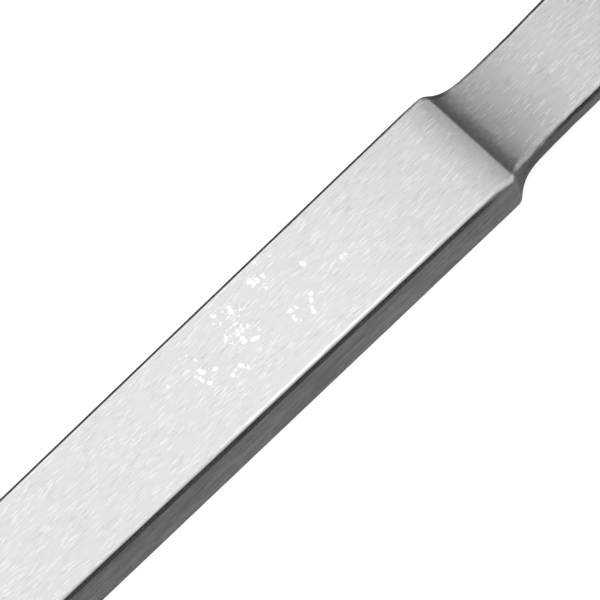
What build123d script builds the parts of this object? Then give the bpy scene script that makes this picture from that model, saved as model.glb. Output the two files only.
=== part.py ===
"""Periosteal elevator, ground from one bar of stainless steel, in millimetres.

A tapered flat handle steps down at a shoulder, through ground coves on all four sides, to a
thinner neck. The neck flares into a broad blade with a rounded, single-bevelled working edge.

The instrument lies on the handle's flat underside: +X runs from the butt to the blade, +Z is up,
and the origin is the middle of the overall box, on the resting plane.
"""

from build123d import *

import math
import os

# Lengths along the instrument
overall_length = 190.5
handle_length = 114.0  # butt to shoulder
flare_start = 7.2  # shoulder to where the neck is narrowest
flare_end = 62.0  # shoulder to where the blade reaches its full width
sweep_start = 32.0  # shoulder to where the blade begins to curve up

# Handle: narrow and deep at the butt, wide and shallow at the shoulder
butt_width = 11.1
butt_depth = 7.9
butt_corner_radius = 2.2
shoulder_width = 12.7
shoulder_depth = 6.35
crown_run = 3.6  # the polished upper face rolls down over this length before the shoulder
crown_drop = 0.38

# Shoulder: each cove's length to where it runs out into the neck, and its slope in degrees at the
# outer edge
upper_cove_length = 7.0
upper_cove_slope = 35.0
lower_cove_length = 4.3
lower_cove_slope = 56.0
side_cove_length = 4.4
side_cove_slope = 38.0
side_cove_lead = 0.35  # the side coves begin this far before the upper and lower ones
shoulder_break = 0.9  # rounding of the outer edge, above and below
side_break = 0.9  # and at the sides

# Neck and blade, each height being the middle of the section above the resting plane
neck_width = 10.5
neck_depth = 2.83  # in line with the shoulder
neck_height = 3.37
sweep_height = 4.55
blade_width = 19.0
blade_depth = 1.7  # at the tip, before the bevel
tip_height = 8.0

# Edges
edge_radius = 0.75  # rounding of every long edge
tip_radius = 22.0  # working edge, seen from above
tip_corner_radius = 2.5
tip_corner_overlap = 0.1  # the corner's arc runs out this far past the blade's side
bevel_length = 3.5
edge_land = 0.25  # blunt width left at the working edge

# Places along X that follow from the lengths
x_butt = -overall_length / 2
x_tip = overall_length / 2
x_shoulder = x_butt + handle_length
x_flare_start = x_shoulder + flare_start
x_flare_end = x_shoulder + flare_end
x_sweep = x_shoulder + sweep_start
overrun = 2.0  # blank and cutters run on past the finished faces by this much


def rounded(outline, corner, radius):
    """The outline with its vertex nearest to a corner point rounded."""
    return fillet(outline.vertices().sort_by_distance(corner)[0], radius)


def cove(corner, landing, direction, slope):
    """Ground curve that leaves a shoulder corner at a slope and runs out flat at its landing."""
    corner = Vector(*corner)
    foot = landing - direction * (landing - corner).dot(direction)
    bend = foot + direction * ((corner - foot).length / math.tan(math.radians(slope)))
    return Bezier(corner, bend, (bend + landing) / 2, landing)


def side_cove_and_waist(shoulder_corner, flare_middle):
    """Side cove, and the waist arc it runs out into, which is narrowest where the flare starts."""
    run = flare_middle[0] - x_flare_start
    rise = flare_middle[1] - neck_width / 2
    waist_radius = (run**2 + rise**2) / (2 * rise)
    waist_centre = Vector(x_flare_start, neck_width / 2 + waist_radius)
    landing_x = shoulder_corner[0] + side_cove_length
    landing_angle = math.asin((landing_x - x_flare_start) / waist_radius)
    to_flare = Vector(math.cos(landing_angle), math.sin(landing_angle))
    landing = waist_centre + Vector(to_flare.Y, -to_flare.X) * waist_radius
    return [
        cove(shoulder_corner, landing, to_flare, side_cove_slope),
        TangentArc(landing, flare_middle, tangent=to_flare),
    ]


def plan_outline():
    """The blank seen from above: one half is drawn, then mirrored in the instrument's axis."""
    butt_corner = (x_butt, butt_width / 2)
    shoulder_corner = (x_shoulder - side_cove_lead, shoulder_width / 2)
    flare_middle = ((x_flare_start + x_flare_end) / 2, (neck_width + blade_width) / 4)
    widest = (x_flare_end, blade_width / 2)
    blank_corner = (x_tip + overrun, blade_width / 2)
    blank_end = (x_tip + overrun, 0)
    half = make_face(
        [
            Line((x_butt, 0), butt_corner),
            Line(butt_corner, shoulder_corner),
            *side_cove_and_waist(shoulder_corner, flare_middle),
            TangentArc(widest, flare_middle, tangent=(-1, 0)),
            Line(widest, blank_corner),
            Line(blank_corner, blank_end),
            Line(blank_end, (x_butt, 0)),
        ]
    )
    half = rounded(half, butt_corner, butt_corner_radius)
    half = rounded(half, shoulder_corner, side_break)
    return half + mirror(half, Plane.XZ)


def blade_face(side):
    """Upper (1) or lower (-1) face in the side view: the straight neck and the swept blade."""
    neck_share = sweep_start / (overall_length - handle_length)
    sweep_depth = neck_depth + (blade_depth - neck_depth) * neck_share
    start = (x_shoulder, neck_height + side * neck_depth / 2)
    sweep = (x_sweep, sweep_height + side * sweep_depth / 2)
    tip = (x_tip, tip_height + side * blade_depth / 2)
    neck = Line(start, sweep)
    return neck, TangentArc(sweep, tip, tangent=neck % 1)


def side_outline():
    """The blank seen from the side, with height drawn as Y: flat base, coves, wedge neck, blade."""
    butt_top = Vector(x_butt, butt_depth)
    butt_base = Vector(x_butt, 0)
    handle_fall = Vector(x_shoulder, shoulder_depth) - butt_top
    crown_runs = (crown_run, crown_run * 2 / 3, crown_run / 3)
    crown_points = [butt_top + handle_fall * (1 - run / handle_length) for run in crown_runs]
    upper_corner = (x_shoulder, shoulder_depth - crown_drop)
    lower_corner = (x_shoulder, 0)
    edges = [
        Line(lower_corner, butt_base),
        Line(butt_base, butt_top),
        Line(butt_top, crown_points[0]),
        Bezier(*crown_points, upper_corner),
    ]
    coves = (
        (1, upper_corner, upper_cove_length, upper_cove_slope),
        (-1, lower_corner, lower_cove_length, lower_cove_slope),
    )
    blank_ends = []
    for side, corner, cove_length, slope in coves:
        neck, blade = blade_face(side)
        landing = neck @ 0 + (neck % 0) * cove_length
        blank_end = blade @ 1 + (blade % 1) * overrun
        edges += [
            cove(corner, landing, neck % 0, slope),
            Line(landing, neck @ 1),
            blade,
            Line(blade @ 1, blank_end),
        ]
        blank_ends.append(blank_end)
    outline = make_face([*edges, Line(*blank_ends)])
    for corner in (upper_corner, lower_corner):
        outline = rounded(outline, corner, shoulder_break)
    return outline


def runs_lengthwise(edge):
    """True for an edge that runs more along the instrument than across it."""
    return abs((edge % 0.5).X) > 0.5


def ground_blank():
    """Bar ground to both outlines, with its long edges rounded as far as its thinnest place allows."""
    seen_from_above = extrude(plan_outline(), butt_depth + tip_height)
    far_side = Plane.XZ.offset(-blade_width)
    seen_from_side = extrude(far_side * side_outline(), 2 * blade_width)
    bar = seen_from_above & seen_from_side
    widest_rounding = min(0.45 * blade_depth, 0.9 * shoulder_break, 0.9 * side_break)
    return fillet(bar.edges().filter_by(runs_lengthwise), min(edge_radius, widest_rounding))


def with_working_edge(bar):
    """The blade's end cut to its rounded plan, then bevelled on the upper side by a cone."""
    neck, lower_blade = blade_face(-1)
    apex = lower_blade @ 1
    rise = lower_blade % 1
    end_plane = Plane((apex.X, 0, apex.Y), x_dir=(rise.X, 0, rise.Y), z_dir=(-rise.Y, 0, rise.X))
    arc_centre = Pos(-tip_radius, 0)

    kept_width = blade_width + 2 * tip_corner_overlap
    kept = Rectangle(2 * tip_radius, kept_width) & Circle(tip_radius)
    kept = fillet(kept.vertices().group_by(Axis.X)[-1], tip_corner_radius)
    waste_length = tip_radius + 2 * overrun
    waste = Rectangle(waste_length, 2 * blade_width, align=(Align.MIN, Align.CENTER)) - kept
    bar -= extrude(end_plane * arc_centre * waste, tip_height, both=True)

    slope = (blade_depth - edge_land) / bevel_length
    inner_radius = tip_radius - bevel_length - overrun
    outer_radius = tip_radius + overrun
    cutter_top = blade_depth + overrun * slope
    cone_section = Polygon(
        (inner_radius, cutter_top),
        (outer_radius, cutter_top),
        (outer_radius, edge_land - overrun * slope),
        align=None,
    )
    cone_cutter = revolve(Plane.XZ * cone_section, Axis.Z, 180)
    return bar - end_plane * arc_centre * Rot(Z=-90) * cone_cutter


elevator = with_working_edge(ground_blank())

os.makedirs("parts", exist_ok=True)
export_step(elevator, "parts/periosteal_elevator.step")
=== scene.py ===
"""Periosteal elevator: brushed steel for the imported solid, with a plain studio around it.

The solid comes from model.glb and keeps its shape. This file gives it its finish and lays the
floor, mat, lights and camera. Everything is in metres, in the model's own axes: +X runs from the
butt to the blade and +Z is up.
"""

import math
from typing import NamedTuple

import bpy
from mathutils import Matrix, Vector

bl_info = {
    "name": "Periosteal Elevator Looks",
    "version": (1, 0, 0),
    "blender": (4, 5, 0),
    "location": "3D View > Sidebar > Elevator",
    "description": "Brushed steel finish and studio for a periosteal elevator",
    "category": "Object",
}

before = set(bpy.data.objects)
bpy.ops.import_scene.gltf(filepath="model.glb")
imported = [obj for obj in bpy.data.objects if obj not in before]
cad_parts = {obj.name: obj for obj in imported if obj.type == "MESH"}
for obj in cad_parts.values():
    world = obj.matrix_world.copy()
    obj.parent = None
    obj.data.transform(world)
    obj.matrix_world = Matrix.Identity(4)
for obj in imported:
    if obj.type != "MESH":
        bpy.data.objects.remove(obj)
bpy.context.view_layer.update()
ELEVATOR = "periosteal_elevator"
MILLIMETRE = 0.001
WHITE = (1.0, 1.0, 1.0)

# Scratch pattern: one dash in a cell, with lengths in cells where no unit is given
DRIFT_SCALE = 150.0  # waves per metre by which the cells wander sideways
DRIFT_WIDTH = 0.8 * MILLIMETRE
DASH_EDGE = (0.2, 0.26)  # from the cell's middle, where a dash starts to fade and ends
DASH_DEPTHS = (0.3, 1.0)  # strength of the faintest and of the deepest
DASH_DEPTH_POWER = 1.5  # above 1, so that faint dashes are the more common
CLUSTER_SCALE = 550.0  # waves per metre
CLUSTER_EDGE = (0.34, 0.48)  # noise at which a cluster starts and is full

# Brushed grain
GRAIN_DETAIL = 3.0
STREAK_RANGE = (0.2, 0.8)  # values of the grain between which shade and roughness change
STREAK_SHADES = (0.94, 1.06)
STREAK_ROUGHNESS = 0.05  # added or taken away
RELIEF_STRENGTH = 0.05
RELIEF_DEPTH = 0.02 * MILLIMETRE
BRUSHING = (1.0, 0.0, 0.0)
ACROSS_BRUSHING = 0.25  # of a turn from the brushing to the way that reflections spread

# Fleck pattern, with lengths in cells
FLECK_DETAIL = 1.0
FLECK_WOBBLE_SCALE = 1.5  # waves per cell that make the outlines uneven
FLECK_RADII = (0.24, 0.64)
FLECK_BLUR = 0.08
CLUMP_SCALE = 0.2  # waves per cell
CLUMP_EDGE = (0.54, 0.66)  # noise at which a clump starts and is full
CLUMP_SHARES = (0.012, 0.85)  # of the cells that hold a fleck, away from a clump and in one
PATCH_EDGE = (0.6, 1.15)  # of the patch's reach, where flecks start to thin out and end

# Changes along the instrument past the shoulder (painted cove shade, polish) and over its edges
SHOULDER_BLEND = 0.2 * MILLIMETRE  # on either side
COVE_FADE = (3.0 * MILLIMETRE, 13.0 * MILLIMETRE)  # where the painted cove shade runs out
COVE_MIDDLE = 1.5 * MILLIMETRE
POLISH_START = (2.5 * MILLIMETRE, 8.0 * MILLIMETRE)  # from the coves' middle, either way
EDGE_TILT = (0.06, 0.3)  # lesser of the sideways and upright parts of a normal, from flat to edge

# Floor and mat
FLOOR_HEIGHT = -0.02 * MILLIMETRE
MAT_HEIGHT = 0.03 * MILLIMETRE
MAT_BLEND = 2.0 * MILLIMETRE  # from the paler strip to the rest

# Walls of the room and the dark gaps in them, by the parts of a direction along X, Y and Z
WALL_TOP = (0.55, 0.85)  # Z, where the walls start to fade and end
BLADE_GAP_MIDDLE = math.radians(26.0)  # turned from +X towards +Y
BLADE_GAP_EDGE = (math.radians(24.0), math.radians(34.0))  # from its middle, either way
BLADE_GAP_DARKNESS = 0.99
SIDE_GAP_MIDDLE = 0.16  # X
SIDE_GAP_EDGE = (0.12, 0.22)  # X, from its middle, either way
SIDE_GAP_TOPS = (0.7, 0.34)  # Z, on the -Y side and on the +Y side
SIDE_GAP_TOP_BLEND = 0.08  # Z, below and above a top
SIDES_BLEND = 0.05  # Y, on either side of the instrument


class Softbox(NamedTuple):
    """Rectangular light: length along the instrument, width, middle, and turn about its length."""

    length: float
    width: float
    middle: tuple
    turn: float = 0.0


SOFTBOXES = {
    "main_light": Softbox(0.118, 0.105, (-0.022, 0.0575, 0.1)),
    "rim_light": Softbox(0.245, 0.13, (-0.0475, -0.06, 0.1)),
    "crown_light": Softbox(0.056, 0.105, (0.072, 0.0575, 0.1)),
    "glint_light": Softbox(0.028, 0.05, (0.012, -0.025, 0.095)),
    "far_card": Softbox(0.29, 0.18, (-0.077, 0.25, 0.195), -math.pi / 2),
}


class SteelSettings(bpy.types.PropertyGroup):
    """Sizes and colours of the brushed steel."""

    steel_colour: bpy.props.FloatVectorProperty(
        name="Steel",
        description="Colour of the satin steel on the handle",
        subtype="COLOR",
        default=(0.78, 0.78, 0.785),
        min=0.0,
        max=1.0,
    )
    # Painted shade: darker colour in the coves and at the neck's start, standing in for their dark
    # reflection
    painted_cove_colour: bpy.props.FloatVectorProperty(
        name="Cove Shade",
        description="Colour of the coarser ground steel in the coves",
        subtype="COLOR",
        default=(0.53, 0.53, 0.535),
        min=0.0,
        max=1.0,
    )
    scratch_paleness: bpy.props.FloatProperty(
        name="Scratch Paleness",
        description="How much paler than the steel the short brush scratches are",
        subtype="FACTOR",
        default=0.46,
        min=0.0,
        max=1.0,
    )
    # Painted shade: a darker line beside each scratch, for the shade of its relief
    scratch_shade_darkness: bpy.props.FloatProperty(
        name="Scratch Shade Darkness",
        description="How much darker than the steel the line along one side of each scratch is",
        subtype="FACTOR",
        default=0.22,
        min=0.0,
        max=1.0,
    )
    fleck_colour: bpy.props.FloatVectorProperty(
        name="Fleck",
        description="Colour of the bright worn flecks on the handle",
        subtype="COLOR",
        default=(1.0, 1.0, 1.0),
        min=0.0,
        max=1.0,
    )
    roughness: bpy.props.FloatProperty(
        name="Roughness",
        description="Roughness of the satin steel between the scratches",
        subtype="FACTOR",
        default=0.36,
        min=0.0,
        max=1.0,
    )
    edge_roughness: bpy.props.FloatProperty(
        name="Edge Roughness",
        description="Roughness of the long edges, which handling has polished",
        subtype="FACTOR",
        default=0.17,
        min=0.0,
        max=1.0,
    )
    anisotropy: bpy.props.FloatProperty(
        name="Anisotropy",
        description="How much further the brushing spreads reflections across it than along it",
        subtype="FACTOR",
        default=0.7,
        min=0.0,
        max=1.0,
    )
    grain_length: bpy.props.FloatProperty(
        name="Grain Length",
        description="Length of the faint brushed streaks, along the instrument",
        unit="LENGTH",
        default=1.3 * MILLIMETRE,
    )
    grain_width: bpy.props.FloatProperty(
        name="Grain Width",
        description="Width of the faint brushed streaks",
        unit="LENGTH",
        default=0.16 * MILLIMETRE,
    )
    side_grain_size: bpy.props.FloatProperty(
        name="Side Grain Size",
        description="How much longer and wider the streaks on the sides are",
        default=4.0,
    )
    scratch_length: bpy.props.FloatProperty(
        name="Scratch Length",
        description="Length of a cell of the scratch pattern, along the instrument",
        unit="LENGTH",
        default=1.7 * MILLIMETRE,
    )
    scratch_width: bpy.props.FloatProperty(
        name="Scratch Width",
        description="Width of a cell of the scratch pattern, across the instrument",
        unit="LENGTH",
        default=0.13 * MILLIMETRE,
    )
    scratch_height: bpy.props.FloatProperty(
        name="Scratch Height",
        description="Height of a cell of the scratch pattern, on the sides",
        unit="LENGTH",
        default=0.45 * MILLIMETRE,
    )
    scratch_share: bpy.props.FloatProperty(
        name="Scratch Share",
        description="Share of the pattern's cells that hold a scratch where scratches cluster",
        subtype="FACTOR",
        default=0.95,
        min=0.0,
        max=1.0,
    )
    fleck_size: bpy.props.FloatProperty(
        name="Fleck Size",
        description="Size of a cell of the fleck pattern",
        unit="LENGTH",
        default=0.5 * MILLIMETRE,
    )
    fleck_middle: bpy.props.FloatVectorProperty(
        name="Fleck Middle",
        description="Middle of the patch of flecks, on the handle's upper face",
        subtype="TRANSLATION",
        unit="LENGTH",
        default=(-7.0 * MILLIMETRE, 1.6 * MILLIMETRE, 6.7 * MILLIMETRE),
    )
    fleck_reach: bpy.props.FloatVectorProperty(
        name="Fleck Reach",
        description="How far the patch reaches from its middle, along each axis",
        subtype="TRANSLATION",
        unit="LENGTH",
        default=(10.0 * MILLIMETRE, 4.2 * MILLIMETRE, 1.5 * MILLIMETRE),
    )
    # The painted cove shade starts at the shoulder
    shoulder_x: bpy.props.FloatProperty(
        name="Shoulder",
        description="Place of the shoulder along the instrument, where the coarser grinding starts",
        unit="LENGTH",
        default=18.75 * MILLIMETRE,
    )


class StudioSettings(bpy.types.PropertyGroup):
    """Floor, mat, lights and camera."""

    floor_colour: bpy.props.FloatVectorProperty(
        name="Floor",
        description="Colour of the pale floor",
        subtype="COLOR",
        default=(0.9, 0.9, 0.9),
        min=0.0,
        max=1.0,
    )
    floor_glow: bpy.props.FloatProperty(
        name="Floor Glow",
        description="Light of its own that makes the floor look white, also in reflections",
        default=0.68,
        min=0.0,
        max=1.0,
    )
    floor_size: bpy.props.FloatProperty(
        name="Floor Size",
        description="Length of the floor's sides",
        unit="LENGTH",
        default=8.0,
    )
    mat_colour: bpy.props.FloatVectorProperty(
        name="Mat",
        description="Colour, beside the instrument, of the mat that only reflections show",
        subtype="COLOR",
        default=(0.235, 0.235, 0.235),
        min=0.0,
        max=1.0,
    )
    mat_edge_colour: bpy.props.FloatVectorProperty(
        name="Mat Edge",
        description="Colour of the mat away from the instrument",
        subtype="COLOR",
        default=(0.07, 0.07, 0.07),
        min=0.0,
        max=1.0,
    )
    mat_pale_width: bpy.props.FloatProperty(
        name="Mat Pale Width",
        description="Half the width of the paler strip in the middle of the mat",
        unit="LENGTH",
        default=10.5 * MILLIMETRE,
    )
    mat_taper: bpy.props.FloatProperty(
        name="Mat Taper",
        description="How much wider the strip gets on each side, per length towards the blade",
        default=0.045,
    )
    mat_size: bpy.props.FloatProperty(
        name="Mat Size",
        description="Length of the mat's sides",
        unit="LENGTH",
        default=1.2,
    )
    surround_level: bpy.props.FloatProperty(
        name="Surround",
        description="Brightness of the room's walls",
        default=0.8,
        min=0.0,
    )
    zenith_level: bpy.props.FloatProperty(
        name="Zenith",
        description="Brightness of the room overhead",
        default=0.785,
        min=0.0,
    )
    zenith_focus: bpy.props.FloatProperty(
        name="Focus",
        description="How closely the room's brightness keeps to the zenith",
        default=3.0,
        min=0.0,
    )
    main_light: bpy.props.FloatProperty(
        name="Main Light",
        description="Brightness of the softbox over the handle",
        default=0.44,
        min=0.0,
    )
    crown_light: bpy.props.FloatProperty(
        name="Crown Light",
        description="Brightness of the softbox that lights the rolled end of the handle",
        default=0.118,
        min=0.0,
    )
    rim_light: bpy.props.FloatProperty(
        name="Rim Light",
        description="Brightness of the long softbox that lights the near edge",
        default=0.28,
        min=0.0,
    )
    glint_light: bpy.props.FloatProperty(
        name="Glint Light",
        description="Brightness of the short softbox that lights the middle of the near edge",
        default=0.5,
        min=0.0,
    )
    far_card: bpy.props.FloatProperty(
        name="Far Card",
        description="Brightness of the upright card behind the far edge",
        default=0.22,
        min=0.0,
    )
    camera_distance: bpy.props.FloatProperty(
        name="Distance",
        description="From the aimed point to the camera",
        unit="LENGTH",
        default=0.6,
    )
    camera_tilt: bpy.props.FloatProperty(
        name="Tilt",
        description="Turn of the camera about the instrument's axis, away from straight above",
        subtype="ANGLE",
        default=math.radians(21.05),
    )
    camera_lean: bpy.props.FloatProperty(
        name="Lean",
        description="Lean of the camera towards the butt",
        subtype="ANGLE",
        default=math.radians(8.6),
    )
    camera_roll: bpy.props.FloatProperty(
        name="Roll",
        description="Rise of the instrument's axis in the picture",
        subtype="ANGLE",
        default=math.radians(43.77),
    )
    camera_aim: bpy.props.FloatVectorProperty(
        name="Aim",
        description="Point at the middle of the picture",
        subtype="TRANSLATION",
        unit="LENGTH",
        default=(-3.58 * MILLIMETRE, -0.38 * MILLIMETRE, 6.65 * MILLIMETRE),
    )
    camera_lens: bpy.props.FloatProperty(
        name="Lens",
        description="Focal length of the camera",
        unit="CAMERA",
        default=390.1,
    )


def add_node(tree, kind, inputs=None, **settings):
    """A new node with its settings and its inputs, each a value or a socket to link from."""
    node = tree.nodes.new(kind)
    for name, value in settings.items():
        setattr(node, name, value)
    for name, value in (inputs or {}).items():
        if isinstance(value, bpy.types.NodeSocket):
            tree.links.new(value, node.inputs[name])
        else:
            node.inputs[name].default_value = value
    return node


def calculate(tree, operation, first, second=0.0):
    """Output of a Math node."""
    return add_node(tree, "ShaderNodeMath", {0: first, 1: second}, operation=operation).outputs[0]


def combine(tree, operation, first, second=(0.0, 0.0, 0.0)):
    """Output of a Vector Math node."""
    node = add_node(tree, "ShaderNodeVectorMath", {0: first, 1: second}, operation=operation)
    return node.outputs["Value" if operation in ("LENGTH", "DOT_PRODUCT") else "Vector"]


def split(tree, vector):
    """Outputs X, Y and Z of a Separate XYZ node."""
    return add_node(tree, "ShaderNodeSeparateXYZ", {0: vector}).outputs


def ramp(tree, value, start, end, low=0.0, high=1.0):
    """Output of a smooth Map Range node, held at its two ends."""
    inputs = {"Value": value, "From Min": start, "From Max": end, "To Min": low, "To Max": high}
    node = add_node(tree, "ShaderNodeMapRange", inputs, interpolation_type="SMOOTHSTEP")
    return node.outputs["Result"]


def mix_values(tree, share, first, second):
    """Output of a Mix node between two values."""
    return add_node(tree, "ShaderNodeMix", {0: share, 2: first, 3: second}).outputs[0]


def mix_colours(tree, share, first, second):
    """Output of a Mix node between two colours."""
    node = add_node(tree, "ShaderNodeMix", {0: share, 6: first, 7: second}, data_type="RGBA")
    return node.outputs[2]


def opaque(colour):
    """A colour with full alpha, as colour sockets take it."""
    return (*colour, 1.0)


def noise(tree, place, scale, detail=0.0):
    """Outputs of a Noise Texture node: a value, then a colour."""
    inputs = {"Vector": place, "Scale": scale, "Detail": detail}
    return add_node(tree, "ShaderNodeTexNoise", inputs).outputs


def random_cells(tree, place, distance="EUCLIDEAN"):
    """Outputs of a Voronoi Texture node with cells of unit size, and each cell's random draws."""
    inputs = {"Vector": place, "Scale": 1.0}
    cells = add_node(tree, "ShaderNodeTexVoronoi", inputs, distance=distance).outputs
    draws = add_node(tree, "ShaderNodeSeparateColor", {0: cells["Color"]}).outputs
    return cells, draws


def new_group(name, inputs, outputs):
    """An empty shader node group with its sockets, given as {name: socket type}."""
    group = bpy.data.node_groups.new(name, "ShaderNodeTree")
    for socket, kind in inputs.items():
        group.interface.new_socket(socket, in_out="INPUT", socket_type=kind)
    for socket, kind in outputs.items():
        group.interface.new_socket(socket, in_out="OUTPUT", socket_type=kind)
    source = group.nodes.new("NodeGroupInput")
    sink = group.nodes.new("NodeGroupOutput")
    return group, source.outputs, sink.inputs


def scratch_group():
    """Short straight scratches along the instrument, in small clusters."""
    group, given, result = new_group(
        "Brush Scratches",
        {"Place": "NodeSocketVector", "Cell": "NodeSocketVector", "Share": "NodeSocketFloat"},
        {"Scratch": "NodeSocketFloat"},
    )
    drift = noise(group, given["Place"], DRIFT_SCALE)["Color"]
    sideways = combine(group, "MULTIPLY", drift, (0.0, DRIFT_WIDTH, DRIFT_WIDTH))
    drifted = combine(group, "ADD", given["Place"], sideways)
    stretched = combine(group, "DIVIDE", drifted, given["Cell"])
    cells, draws = random_cells(group, stretched, "CHEBYCHEV")
    dash = ramp(group, cells["Distance"], *DASH_EDGE, 1.0, 0.0)
    middle = combine(group, "MULTIPLY", cells["Position"], given["Cell"])
    clustered = ramp(group, noise(group, middle, CLUSTER_SCALE)[0], *CLUSTER_EDGE)
    share = calculate(group, "MULTIPLY", given["Share"], clustered)
    chosen = calculate(group, "LESS_THAN", draws[0], share)
    deepness = calculate(group, "POWER", draws[1], DASH_DEPTH_POWER)
    depth = ramp(group, deepness, 0.0, 1.0, *DASH_DEPTHS)
    strength = calculate(group, "MULTIPLY", chosen, depth)
    group.links.new(calculate(group, "MULTIPLY", dash, strength), result["Scratch"])
    return group


def grain_group():
    """Faint streaks of the brushing, from 0 to 1 around one half."""
    group, given, result = new_group(
        "Brushed Grain",
        {"Place": "NodeSocketVector", "Cell": "NodeSocketVector"},
        {"Grain": "NodeSocketFloat"},
    )
    stretched = combine(group, "DIVIDE", given["Place"], given["Cell"])
    group.links.new(noise(group, stretched, 1.0, GRAIN_DETAIL)[0], result["Grain"])
    return group


def fleck_group():
    """Irregular bright flecks in clumps that thin out from the middle of a patch."""
    group, given, result = new_group(
        "Bright Flecks",
        {
            "Place": "NodeSocketVector",
            "Middle": "NodeSocketVector",
            "Reach": "NodeSocketVector",
            "Size": "NodeSocketFloat",
        },
        {"Fleck": "NodeSocketFloat"},
    )
    wobble_scale = calculate(group, "DIVIDE", FLECK_WOBBLE_SCALE, given["Size"])
    wobble = noise(group, given["Place"], wobble_scale, FLECK_DETAIL)["Color"]
    centred = combine(group, "SUBTRACT", wobble, (0.5, 0.5, 0.5))
    plain_cells = combine(group, "DIVIDE", given["Place"], given["Size"])
    cells, draws = random_cells(group, combine(group, "ADD", plain_cells, centred))

    offset = combine(group, "SUBTRACT", given["Place"], given["Middle"])
    away = combine(group, "LENGTH", combine(group, "DIVIDE", offset, given["Reach"]))
    within = ramp(group, away, *PATCH_EDGE, 1.0, 0.0)
    clumps = noise(group, cells["Position"], CLUMP_SCALE, FLECK_DETAIL)[0]
    clumped = ramp(group, clumps, *CLUMP_EDGE, *CLUMP_SHARES)
    chosen = calculate(group, "LESS_THAN", draws[0], calculate(group, "MULTIPLY", within, clumped))

    radius = ramp(group, draws[1], 0.0, 1.0, *FLECK_RADII)
    inside = calculate(group, "SUBTRACT", radius, cells["Distance"])
    spot = ramp(group, inside, 0.0, FLECK_BLUR)
    group.links.new(calculate(group, "MULTIPLY", chosen, spot), result["Fleck"])
    return group


class SteelMarks(NamedTuple):
    """Masks of the marks on the steel, as sockets."""

    streak: bpy.types.NodeSocket
    side_streak: bpy.types.NodeSocket
    # painted shade beside each scratch
    scratch_shade: bpy.types.NodeSocket
    scratch: bpy.types.NodeSocket
    fleck: bpy.types.NodeSocket


def steel_marks(tree, place, settings):
    """Brushed streaks, scratches with a painted shade line beside each, and bright flecks."""
    grain = grain_group()
    streaks = []
    for size in (1.0, settings.side_grain_size):
        cell = Vector((settings.grain_length, settings.grain_width, settings.grain_width)) * size
        streak = add_node(tree, "ShaderNodeGroup", {"Place": place, "Cell": cell}, node_tree=grain)
        streaks.append(streak.outputs["Grain"])

    scratches = scratch_group()
    cell = Vector((settings.scratch_length, settings.scratch_width, settings.scratch_height))
    # The painted shade line is the scratch pattern shifted by half a cell
    beside = combine(tree, "ADD", place, (0.0, cell.y / 2, cell.z / 2))
    shade_and_scratch = []
    for where in (beside, place):
        inputs = {"Place": where, "Cell": cell, "Share": settings.scratch_share}
        mark = add_node(tree, "ShaderNodeGroup", inputs, node_tree=scratches)
        shade_and_scratch.append(mark.outputs["Scratch"])

    inputs = {
        "Place": place,
        "Middle": settings.fleck_middle,
        "Reach": settings.fleck_reach,
        "Size": settings.fleck_size,
    }
    fleck = add_node(tree, "ShaderNodeGroup", inputs, node_tree=fleck_group()).outputs["Fleck"]
    return SteelMarks(*streaks, *shade_and_scratch, fleck)


def steel_colour(tree, settings, marks, past_shoulder, sideways):
    """Steel colour: painted shade in coves and beside scratches; streaked, scratched and flecked.
    """
    # Painted shade: the coves and the neck's start are darkened in colour for their dark reflection
    into_cove = ramp(tree, past_shoulder, -SHOULDER_BLEND, SHOULDER_BLEND)
    fading = ramp(tree, past_shoulder, *COVE_FADE, 1.0, 0.0)
    cove_shade_share = calculate(tree, "MULTIPLY", into_cove, fading)
    colour = mix_colours(tree, cove_shade_share, opaque(settings.steel_colour), opaque(settings.painted_cove_colour))

    shade = ramp(tree, marks.streak, *STREAK_RANGE, *STREAK_SHADES)
    colour = combine(tree, "MULTIPLY", colour, shade)
    centred = calculate(tree, "SUBTRACT", marks.side_streak, 0.5)
    side_shade = calculate(tree, "ADD", calculate(tree, "MULTIPLY", sideways, centred), 1.0)
    colour = combine(tree, "MULTIPLY", colour, side_shade)

    # Painted shade line beside each scratch; the scratches themselves are paler
    darker = calculate(tree, "MULTIPLY", marks.scratch_shade, -settings.scratch_shade_darkness)
    paler = calculate(tree, "MULTIPLY", marks.scratch, settings.scratch_paleness)
    marked = calculate(tree, "ADD", calculate(tree, "ADD", darker, paler), 1.0)
    colour = combine(tree, "MINIMUM", combine(tree, "MULTIPLY", colour, marked), WHITE)
    return mix_colours(tree, marks.fleck, colour, opaque(settings.fleck_colour))


def steel_roughness(tree, settings, marks, past_shoulder, tilt):
    """Roughness of the steel: satin, with edges polished by handling except near the coves."""
    finest = settings.roughness - STREAK_ROUGHNESS
    coarsest = settings.roughness + STREAK_ROUGHNESS
    satin = ramp(tree, marks.streak, *STREAK_RANGE, finest, coarsest)
    past_coves = calculate(tree, "SUBTRACT", past_shoulder, COVE_MIDDLE)
    handled = ramp(tree, calculate(tree, "ABSOLUTE", past_coves), *POLISH_START)
    polish = calculate(tree, "MULTIPLY", ramp(tree, tilt, *EDGE_TILT), handled)
    return mix_values(tree, polish, satin, settings.edge_roughness)


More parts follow.
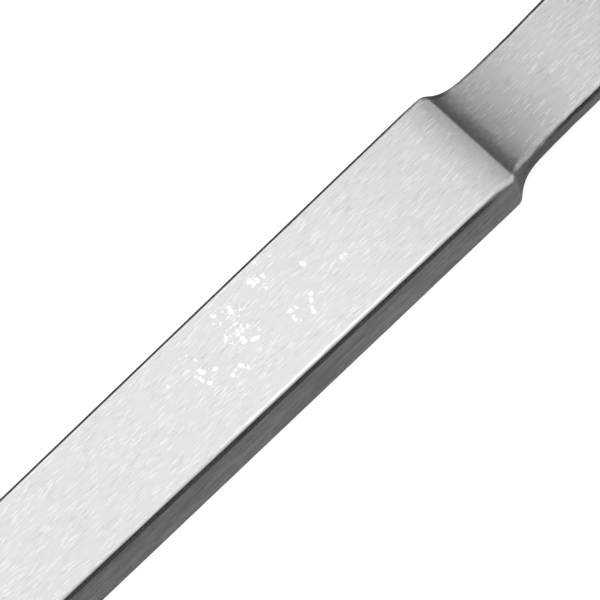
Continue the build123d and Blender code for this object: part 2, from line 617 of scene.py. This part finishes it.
def steel_material(settings):
    """Brushed satin steel with polished edges, painted shade in the coves and a few bright flecks.
    """
    material = bpy.data.materials.new("brushed_steel")
    material.use_nodes = True
    tree = material.node_tree
    surface = add_node(tree, "ShaderNodeTexCoord").outputs
    place = surface["Object"]
    past_shoulder = calculate(tree, "SUBTRACT", split(tree, place)["X"], settings.shoulder_x)
    facing = split(tree, surface["Normal"])
    sideways = calculate(tree, "ABSOLUTE", facing["Y"])
    tilt = calculate(tree, "MINIMUM", sideways, calculate(tree, "ABSOLUTE", facing["Z"]))
    marks = steel_marks(tree, place, settings)

    relief = calculate(tree, "SUBTRACT", marks.streak, marks.scratch)
    inputs = {"Height": relief, "Strength": RELIEF_STRENGTH, "Distance": RELIEF_DEPTH}
    spaces = {"vector_type": "VECTOR", "convert_from": "OBJECT", "convert_to": "WORLD"}
    linked = {
        "Base Color": steel_colour(tree, settings, marks, past_shoulder, sideways),
        "Roughness": steel_roughness(tree, settings, marks, past_shoulder, tilt),
        "Normal": add_node(tree, "ShaderNodeBump", inputs).outputs["Normal"],
        "Tangent": add_node(tree, "ShaderNodeVectorTransform", {0: BRUSHING}, **spaces).outputs[0],
    }
    shader = tree.nodes["Principled BSDF"]
    for name, socket in linked.items():
        tree.links.new(socket, shader.inputs[name])
    shader.inputs["Metallic"].default_value = 1.0
    shader.inputs["Anisotropic"].default_value = settings.anisotropy
    shader.inputs["Anisotropic Rotation"].default_value = ACROSS_BRUSHING
    return material


class ELEVATOR_OT_brush_steel(bpy.types.Operator):
    """Give the elevator its brushed steel"""

    bl_idname = "elevator.brush_steel"
    bl_label = "Brush the Steel"
    bl_options = {"REGISTER", "UNDO"}

    def execute(self, context):
        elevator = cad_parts[ELEVATOR]
        material = steel_material(context.scene.elevator_steel)
        for slot in elevator.material_slots:
            slot.material = material
        return {"FINISHED"}


def flat_sheet(name, size, height):
    """A square sheet on the stage."""
    half = size / 2
    corners = [(-half, -half), (half, -half), (half, half), (-half, half)]
    mesh = bpy.data.meshes.new(name)
    mesh.from_pydata([(x, y, height) for x, y in corners], [], [(0, 1, 2, 3)])
    sheet = bpy.data.objects.new(name, mesh)
    bpy.context.scene.collection.objects.link(sheet)
    return sheet


def matt_material(name, colour):
    """A plain matt material for the stage."""
    material = bpy.data.materials.new(name)
    material.use_nodes = True
    shader = material.node_tree.nodes["Principled BSDF"]
    shader.inputs["Base Color"].default_value = opaque(colour)
    shader.inputs["Roughness"].default_value = 1.0
    shader.inputs["Specular IOR Level"].default_value = 0.0
    return material


def lay_floor(settings):
    """Pale floor under the instrument, which glows white where it is seen or reflected."""
    floor = flat_sheet("floor", settings.floor_size, FLOOR_HEIGHT)
    material = matt_material("pale_floor", settings.floor_colour)
    tree = material.node_tree
    path = add_node(tree, "ShaderNodeLightPath").outputs
    seen = calculate(tree, "MAXIMUM", path["Is Camera Ray"], path["Is Glossy Ray"])
    seen = calculate(tree, "MAXIMUM", seen, path["Is Transmission Ray"])
    glow = calculate(tree, "MULTIPLY", seen, settings.floor_glow)
    shader = tree.nodes["Principled BSDF"]
    shader.inputs["Emission Color"].default_value = opaque(WHITE)
    tree.links.new(glow, shader.inputs["Emission Strength"])
    floor.data.materials.append(material)


def lay_mat(settings):
    """Mat that only reflections show, so that the steel's sides stay dark on a white floor."""
    mat = flat_sheet("reflected_mat", settings.mat_size, MAT_HEIGHT)
    material = matt_material("reflected_mat", settings.mat_colour)
    tree = material.node_tree
    place = split(tree, add_node(tree, "ShaderNodeTexCoord").outputs["Object"])
    widening = calculate(tree, "MULTIPLY", place["X"], settings.mat_taper)
    away = calculate(tree, "SUBTRACT", calculate(tree, "ABSOLUTE", place["Y"]), widening)
    outer = ramp(tree, away, settings.mat_pale_width, settings.mat_pale_width + MAT_BLEND)
    colour = mix_colours(tree, outer, opaque(settings.mat_colour), opaque(settings.mat_edge_colour))
    tree.links.new(colour, tree.nodes["Principled BSDF"].inputs["Base Color"])
    mat.data.materials.append(material)
    mat.visible_camera = False
    mat.visible_diffuse = False
    mat.visible_shadow = False


def dark_gaps(tree, direction):
    """Mask of the gaps in the walls: one past the blade for the coves, and two for the edges."""
    along, across, rise = split(tree, direction)
    level = combine(tree, "NORMALIZE", combine(tree, "MULTIPLY", direction, (1.0, 1.0, 0.0)))
    middle = (math.cos(BLADE_GAP_MIDDLE), math.sin(BLADE_GAP_MIDDLE), 0.0)
    towards_gap = combine(tree, "DOT_PRODUCT", level, middle)
    full, none = [math.cos(angle) for angle in BLADE_GAP_EDGE]
    past_blade = ramp(tree, towards_gap, none, full, 0.0, BLADE_GAP_DARKNESS)

    off_middle = calculate(tree, "ABSOLUTE", calculate(tree, "SUBTRACT", along, SIDE_GAP_MIDDLE))
    beside = ramp(tree, off_middle, *SIDE_GAP_EDGE, 1.0, 0.0)
    top = ramp(tree, across, -SIDES_BLEND, SIDES_BLEND, *SIDE_GAP_TOPS)
    above_top = calculate(tree, "SUBTRACT", rise, top)
    below = ramp(tree, above_top, -SIDE_GAP_TOP_BLEND, SIDE_GAP_TOP_BLEND, 1.0, 0.0)
    return calculate(tree, "MAXIMUM", past_blade, calculate(tree, "MULTIPLY", beside, below))


def light_room(settings):
    """Room that is bright overhead and has bright walls with dark gaps."""
    world = bpy.data.worlds.new("studio")
    bpy.context.scene.world = world
    world.use_nodes = True
    tree = world.node_tree
    direction = add_node(tree, "ShaderNodeTexCoord").outputs["Generated"]
    rise = split(tree, direction)["Z"]
    focused = calculate(tree, "POWER", calculate(tree, "MAXIMUM", rise), settings.zenith_focus)
    overhead = calculate(tree, "MULTIPLY", focused, settings.zenith_level)
    whole_walls = ramp(tree, rise, *WALL_TOP, settings.surround_level, 0.0)
    kept = calculate(tree, "SUBTRACT", 1.0, dark_gaps(tree, direction))
    walls = calculate(tree, "MULTIPLY", whole_walls, kept)
    background = tree.nodes["Background"]
    background.inputs["Color"].default_value = opaque(WHITE)
    tree.links.new(calculate(tree, "ADD", overhead, walls), background.inputs["Strength"])


def hang_softbox(name, box, level):
    """One of the studio's softboxes, which reflections show and the camera doesn't."""
    lamp = bpy.data.lights.new(name, "AREA")
    lamp.shape = "RECTANGLE"
    lamp.size = box.length
    lamp.size_y = box.width
    lamp.energy = math.pi * box.length * box.width * level
    softbox = bpy.data.objects.new(name, lamp)
    bpy.context.scene.collection.objects.link(softbox)
    softbox.location = box.middle
    softbox.rotation_euler.x = box.turn
    softbox.visible_camera = False


def place_camera(settings):
    """Camera at the photograph's viewing angle."""
    tilt = settings.camera_tilt
    lean = settings.camera_lean
    roll = settings.camera_roll
    along = Vector(
        (math.cos(lean), -math.sin(tilt) * math.sin(lean), math.cos(tilt) * math.sin(lean))
    )
    across = Vector((0.0, -math.cos(tilt), -math.sin(tilt)))
    right = along * math.cos(roll) + across * math.sin(roll)
    up = along * math.sin(roll) - across * math.cos(roll)
    back = right.cross(up)
    place = Vector(settings.camera_aim) + back * settings.camera_distance
    turn = Matrix((right, up, back)).transposed().to_4x4()
    camera_data = bpy.data.cameras.new("camera")
    camera_data.lens = settings.camera_lens
    camera = bpy.data.objects.new("camera", camera_data)
    bpy.context.scene.collection.objects.link(camera)
    camera.matrix_world = Matrix.Translation(place) @ turn
    bpy.context.scene.camera = camera


class ELEVATOR_OT_lay_stage(bpy.types.Operator):
    """Lay the floor and set the lights and the camera"""

    bl_idname = "elevator.lay_stage"
    bl_label = "Lay the Stage"
    bl_options = {"REGISTER", "UNDO"}

    def execute(self, context):
        settings = context.scene.elevator_studio
        context.scene.view_settings.view_transform = "Standard"
        lay_floor(settings)
        lay_mat(settings)
        light_room(settings)
        for name, box in SOFTBOXES.items():
            hang_softbox(name, box, getattr(settings, name))
        place_camera(settings)
        return {"FINISHED"}


class ELEVATOR_PT_looks(bpy.types.Panel):
    """Finish and studio of the elevator"""

    bl_idname = "ELEVATOR_PT_looks"
    bl_label = "Periosteal Elevator"
    bl_space_type = "VIEW_3D"
    bl_region_type = "UI"
    bl_category = "Elevator"

    def draw(self, context):
        groups = (
            (context.scene.elevator_steel, ELEVATOR_OT_brush_steel),
            (context.scene.elevator_studio, ELEVATOR_OT_lay_stage),
        )
        for settings, operator in groups:
            box = self.layout.box()
            for name in settings.__annotations__:
                box.prop(settings, name)
            box.operator(operator.bl_idname)


CLASSES = (
    SteelSettings,
    StudioSettings,
    ELEVATOR_OT_brush_steel,
    ELEVATOR_OT_lay_stage,
    ELEVATOR_PT_looks,
)


def register():
    for item in CLASSES:
        bpy.utils.register_class(item)
    bpy.types.Scene.elevator_steel = bpy.props.PointerProperty(type=SteelSettings)
    bpy.types.Scene.elevator_studio = bpy.props.PointerProperty(type=StudioSettings)


def unregister():
    del bpy.types.Scene.elevator_studio
    del bpy.types.Scene.elevator_steel
    for item in reversed(CLASSES):
        bpy.utils.unregister_class(item)


def main():
    register()
    bpy.ops.elevator.brush_steel()
    bpy.ops.elevator.lay_stage()


if __name__ == "__main__":
    main()
